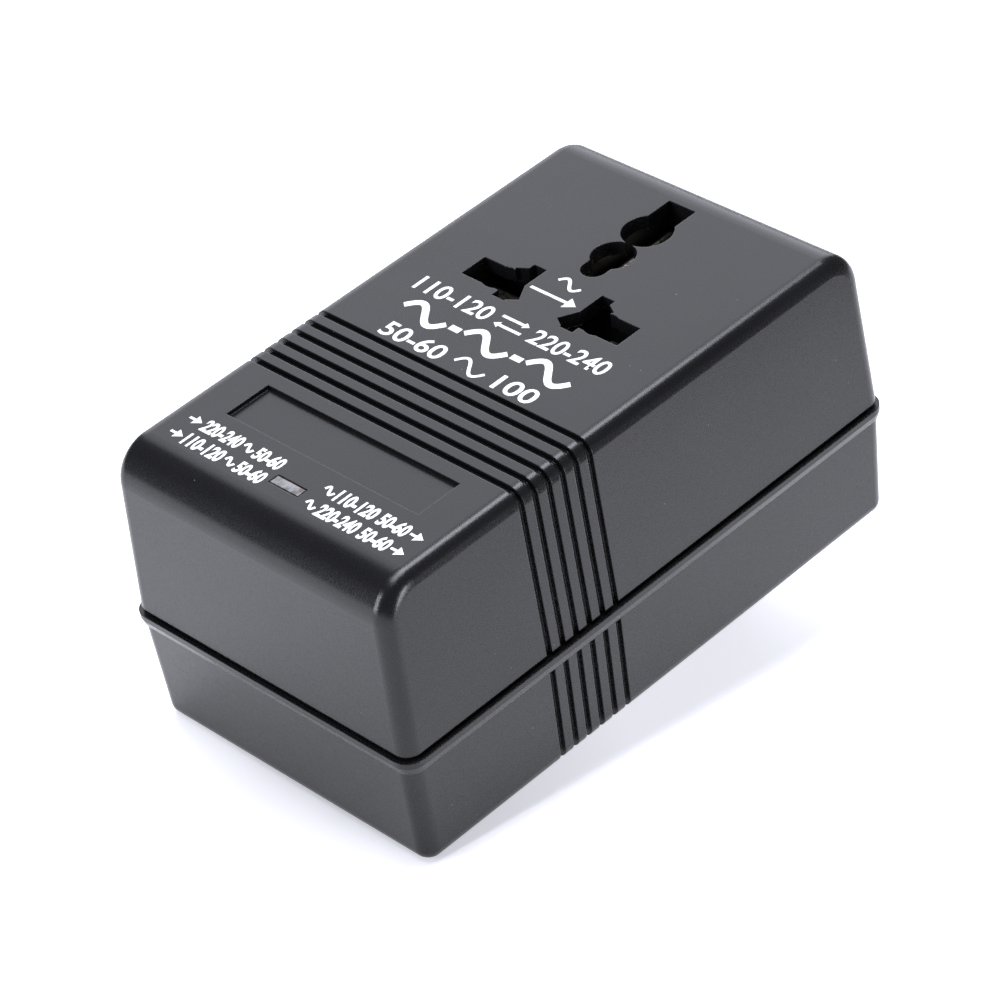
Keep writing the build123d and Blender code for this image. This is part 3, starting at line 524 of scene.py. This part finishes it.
def draw_rate(shape):
    """The mains frequencies and a wave."""
    low, high = rate_line[2:]
    number_mark(shape, "50-60", *along(rate_line, 0.0, 0.40), low, high, title_weight)
    wave_mark(shape, *along(rate_line, 0.47, 0.67), low, high, stroke)
    number_mark(shape, "100", *along(rate_line, 0.75, 1.0), low, high, title_weight)


def draw_output(shape):
    """A small wave over an arrow, between the openings."""
    low, high = output_mark[2:]
    height = (high - low) * 0.42
    wave_mark(shape, *along(output_mark, 0.25, 0.75), high - height, high, stroke)
    arrow_mark(shape, *along(output_mark, 0.0, 1.0), low, low + height, stroke)


def draw_row(shape, text, edges, low, arrow_first):
    """One row of the front print: an arrow, a voltage range, a wave and the frequencies."""
    place = (*edges, low, low + row_height)
    high = low + row_height
    arrow_low = low + row_height * 0.15
    arrow_high = low + row_height * 0.85
    if arrow_first:
        arrow_mark(shape, *along(place, 0.0, 0.13), arrow_low, arrow_high, row_stroke)
        number_mark(shape, text, *along(place, 0.16, 0.56), low, high, row_weight)
        wave_mark(shape, *along(place, 0.59, 0.69), arrow_low, arrow_high, row_stroke)
        number_mark(shape, "50-60", *along(place, 0.72, 1.0), low, high, row_weight)
    else:
        wave_mark(shape, *along(place, 0.0, 0.10), arrow_low, arrow_high, row_stroke)
        number_mark(shape, text, *along(place, 0.13, 0.53), low, high, row_weight)
        number_mark(shape, "50-60", *along(place, 0.57, 0.85), low, high, row_weight)
        arrow_mark(shape, *along(place, 0.87, 1.0), arrow_low, arrow_high, row_stroke)


def draw_rows(shape):
    """What goes in on the left and what comes out on the right, for both settings."""
    draw_row(shape, "220-240", left_row_x, upper_row_y, True)
    draw_row(shape, "110-120", left_row_x, lower_row_y, True)
    draw_row(shape, "110-120", right_row_x, upper_row_y, False)
    draw_row(shape, "220-240", right_row_x, lower_row_y, False)


def paint(material, *names):
    """The finish of these CAD nodes."""
    for name in names:
        slots = nodes[name].data.materials
        slots.clear()
        slots.append(material)


def place_camera():
    """A camera at the photograph's viewing angle."""
    back = Vector(
        (
            math.sin(camera_azimuth) * math.cos(camera_elevation),
            -math.cos(camera_azimuth) * math.cos(camera_elevation),
            math.sin(camera_elevation),
        )
    )
    level = (-back).cross(Vector((0, 0, 1))).normalized()
    upright = level.cross(-back).normalized()
    right = level * math.cos(camera_roll) + upright * math.sin(camera_roll)
    up = upright * math.cos(camera_roll) - level * math.sin(camera_roll)
    px = camera_distance / focal_px
    camera = bpy.data.objects.new("camera", bpy.data.cameras.new("camera"))
    camera.data.sensor_width = sensor_width
    camera.data.lens = focal_px / image_size * sensor_width
    camera.data.clip_end = view_depth
    aside = up * aim_px_down * px - right * aim_px_right * px
    camera.location = Vector((0, 0, aim_z)) + back * camera_distance + aside
    camera.rotation_mode = "QUATERNION"
    basis = [(right[row], up[row], back[row]) for row in range(3)]
    camera.rotation_quaternion = Matrix(basis).to_quaternion()
    bpy.context.scene.collection.objects.link(camera)
    bpy.context.scene.camera = camera


def softbox(name, direction, distance, width, height, power):
    """A rectangular lamp that faces the object from a direction."""
    lamp = bpy.data.lights.new(name, "AREA")
    lamp.shape = "RECTANGLE"
    lamp.size = width
    lamp.size_y = height
    lamp.energy = power
    lamp.color = studio_tint
    holder = bpy.data.objects.new(name, lamp)
    way = Vector(direction).normalized()
    holder.location = Vector((0, 0, aim_z)) + way * distance
    holder.rotation_mode = "QUATERNION"
    holder.rotation_quaternion = way.to_track_quat("Z", "Y")
    bpy.context.scene.collection.objects.link(holder)


def clear_from_below(tree, shader):
    """Lets the eye see the underside of the object through the back of the floor."""
    geometry = tree.nodes.new("ShaderNodeNewGeometry")
    ray = tree.nodes.new("ShaderNodeLightPath")
    clear = tree.nodes.new("ShaderNodeBsdfTransparent")
    mix = tree.nodes.new("ShaderNodeMixShader")
    output = next(node for node in tree.nodes if node.type == "OUTPUT_MATERIAL")
    behind = combine(tree, "MULTIPLY", geometry.outputs["Backfacing"], ray.outputs["Is Camera Ray"])
    tree.links.new(behind, mix.inputs[0])
    tree.links.new(shader.outputs["BSDF"], mix.inputs[1])
    tree.links.new(clear.outputs["BSDF"], mix.inputs[2])
    tree.links.new(mix.outputs["Shader"], output.inputs["Surface"])


def lay_floor():
    """A pale floor under the tips of the blades and the lower front edge."""
    slope = math.atan2(floor_front_z, floor_back_y - floor_front_y)
    shape = bmesh.new()
    corners = ((0, 0), (1, 0), (1, 1), (0, 1))
    shape.faces.new([shape.verts.new((floor_x[i], floor_y[j], 0.0)) for i, j in corners])
    mesh = bpy.data.meshes.new("floor")
    shape.to_mesh(mesh)
    shape.free()
    floor = bpy.data.objects.new("floor", mesh)
    floor.rotation_euler = (-slope, 0, 0)
    floor.location = (0, floor_front_y, floor_front_z)
    material, tree, shader, place = new_material("floor_paper")
    grain = ranged(tree, noise(tree, place, floor_grain, 3.0), 0.3, 0.7, 0.0, 1.0)
    tree.links.new(blended(tree, grain, floor_shade, floor_light), shader.inputs["Base Color"])
    shader.inputs["Roughness"].default_value = floor_roughness
    shader.inputs["Specular IOR Level"].default_value = floor_gloss
    shader.inputs["Emission Color"].default_value = (*studio_tint, 1.0)
    # Painted contact shadow: the glow is dimmer near the object. Painted pool of light: the glow
    # fades far from a bright spot.
    glow_with_painted_shadow = ranged(tree, away(tree, place, floor_shadow_spot), *floor_shadow_range, *floor_glow)
    painted_light_pool = ranged(tree, away(tree, place, floor_light_pool_spot), *floor_light_pool_range, *floor_light_pool_fade)
    tree.links.new(combine(tree, "MULTIPLY", glow_with_painted_shadow, painted_light_pool), shader.inputs["Emission Strength"])
    clear_from_below(tree, shader)
    mesh.materials.append(material)
    bpy.context.scene.collection.objects.link(floor)


def light_room():
    """A white surround for the eye that lights the object only faintly."""
    world = bpy.data.worlds.new("surround")
    bpy.context.scene.world = world
    world.use_nodes = True
    tree = world.node_tree
    tree.nodes.clear()
    output = tree.nodes.new("ShaderNodeOutputWorld")
    mix = tree.nodes.new("ShaderNodeMixShader")
    seen = tree.nodes.new("ShaderNodeBackground")
    seen.inputs["Color"].default_value = (*surround_white, 1.0)
    faint = tree.nodes.new("ShaderNodeBackground")
    faint.inputs["Color"].default_value = (*surround_fill, 1.0)
    faint.inputs["Strength"].default_value = surround_strength
    ray = tree.nodes.new("ShaderNodeLightPath")
    tree.links.new(ray.outputs["Is Camera Ray"], mix.inputs["Fac"])
    tree.links.new(faint.outputs["Background"], mix.inputs[1])
    tree.links.new(seen.outputs["Background"], mix.inputs[2])
    tree.links.new(mix.outputs["Shader"], output.inputs["Surface"])


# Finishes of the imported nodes
housing = moulded("housing_plastic", (0.0075, 0.0075, 0.0085), (0.0095, 0.0095, 0.0105), 0.25, 0.32)
inner = moulded("inner_plastic", (0.012, 0.012, 0.012), (0.016, 0.016, 0.016), 0.5)
red = moulded("selector_red", (0.42, 0.02, 0.015), (0.5, 0.03, 0.02), 0.35)
steel = metal("screw_steel", (0.62, 0.62, 0.63), (0.42, 0.42, 0.44), 0.34)
brass = metal("contact_brass", (0.66, 0.62, 0.54), (0.52, 0.48, 0.40), 0.30)
nickel = metal("blade_nickel", (0.46, 0.45, 0.43), (0.36, 0.35, 0.33), 0.26)
tin = metal("plated_pin", (0.76, 0.76, 0.75), (0.6, 0.6, 0.6), 0.3)
copper = wound("copper_wire", (0.62, 0.22, 0.08), (0.16, 0.05, 0.02), 0.3 * mm, 0.28)
tape = wound("winding_tape", (0.72, 0.55, 0.06), (0.55, 0.40, 0.04), 6.0 * mm, 0.25)
laminate = speckled("board_laminate", (0.32, 0.18, 0.07), (0.38, 0.23, 0.10), 0.5 * mm, 0.55)
fuse = speckled("fuse_case", (0.55, 0.52, 0.42), (0.62, 0.60, 0.50), 0.3 * mm, 0.6)
lacquer = speckled("resistor_coat", (0.52, 0.38, 0.20), (0.58, 0.44, 0.25), 0.4 * mm, 0.25)
red_wire = speckled("lead_red", (0.50, 0.02, 0.02), (0.44, 0.02, 0.02), 0.6 * mm, 0.4)
black_wire = speckled("lead_black", (0.02, 0.02, 0.02), (0.03, 0.03, 0.03), 0.6 * mm, 0.4)
white_wire = speckled("lead_white", (0.75, 0.75, 0.72), (0.70, 0.70, 0.68), 0.6 * mm, 0.4)

paint(housing, "upper_shell", "lower_shell")
paint(inner, "contact_holder", "bobbin", "selector_case", "blade_retainer")
paint(red, "selector_slider")
paint(steel, "housing_screws", "holder_screws", "indicator_screws", "core_screws")
paint(steel, "selector_screws", "retainer_screws")
paint(brass, "contact_live", "contact_neutral", "contact_earth", "selector_bridges")
paint(nickel, "blade_left", "blade_right")
paint(tin, "bobbin_pins", "selector_terminals")
paint(copper, "inner_winding", "outer_winding")
paint(tape, "winding_tape")
paint(laminated(), "core_e_stack", "core_i_stack")
paint(laminate, "indicator_board", "selector_base")
paint(fuse, "thermal_fuse")
paint(lacquer, "indicator_resistor")
paint(lens_resin(), "indicator_led")
paint(red_wire, "lead_input_line", "lead_tap", "lead_output_line")
paint(black_wire, "lead_input_common", "lead_output_common")
paint(white_wire, "indicator_leads")

# Print on the roof
white = pad_print()
roof = BVHTree.FromObject(nodes["upper_shell"], bpy.context.evaluated_depsgraph_get())
printed("print_voltages", draw_title, roof, white)
printed("print_waves", draw_symbols, roof, white)
printed("print_rate", draw_rate, roof, white)
printed("print_output", draw_output, roof, white)
printed("print_settings", draw_rows, roof, white)

# Stage
place_camera()
lay_floor()
light_room()
for name, facts in lamps.items():
    softbox(name, *facts)
bpy.context.scene.view_settings.view_transform = "Standard"
